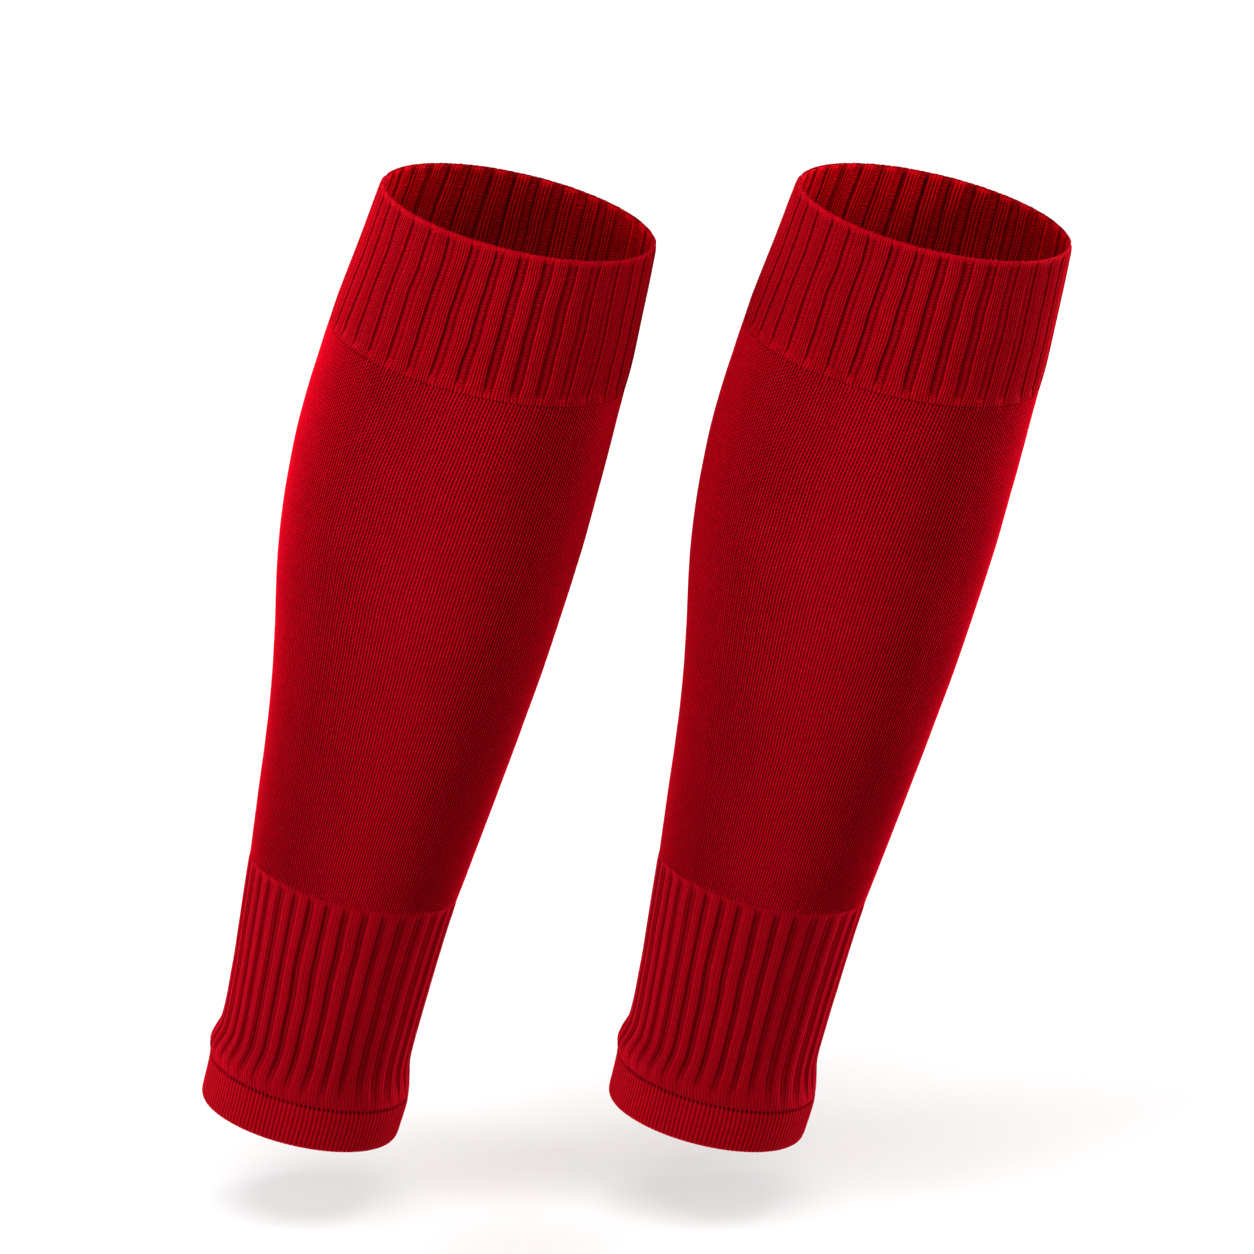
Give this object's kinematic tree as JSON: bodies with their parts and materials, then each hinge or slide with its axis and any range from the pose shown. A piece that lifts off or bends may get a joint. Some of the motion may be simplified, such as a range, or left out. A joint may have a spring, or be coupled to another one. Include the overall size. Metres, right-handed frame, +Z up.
{
  "type": "pair of sock sleeves",
  "caption": "Two footless knitted calf sleeves, hollow as worn and leaning side by side, each with a ribbed cuff, plain leg, ribbed ankle and turned hem.",
  "frame": {"origin": "on the leg's axis in the left sleeve's top cuff, 28 mm below its mouth, where the rib grips the wearer's leg below the knee", "axes": "+Z up; both legs' axes lie in XZ planes and lean 12.9 degrees, tops towards +X; -X is the calf side, +X the shin side, and the right sleeve is the left one moved 156.8 mm along +X; -Y faces the camera"},
  "size_m": [0.3318, 0.1142, 0.3826],
  "materials": {
    "rib_knit": "matte rib knit",
    "plain_knit": "matte plain knit",
    "hem_knit": "matte fine 1x1 rib knit"
  },
  "bodies": {
    "root": {"left_top_cuff": "rib_knit", "left_leg": "plain_knit", "left_ankle_rib": "rib_knit", "left_hem": "hem_knit", "right_top_cuff": "rib_knit", "right_leg": "plain_knit", "right_ankle_rib": "rib_knit", "right_hem": "hem_knit"}
  },
  "joints": []
}
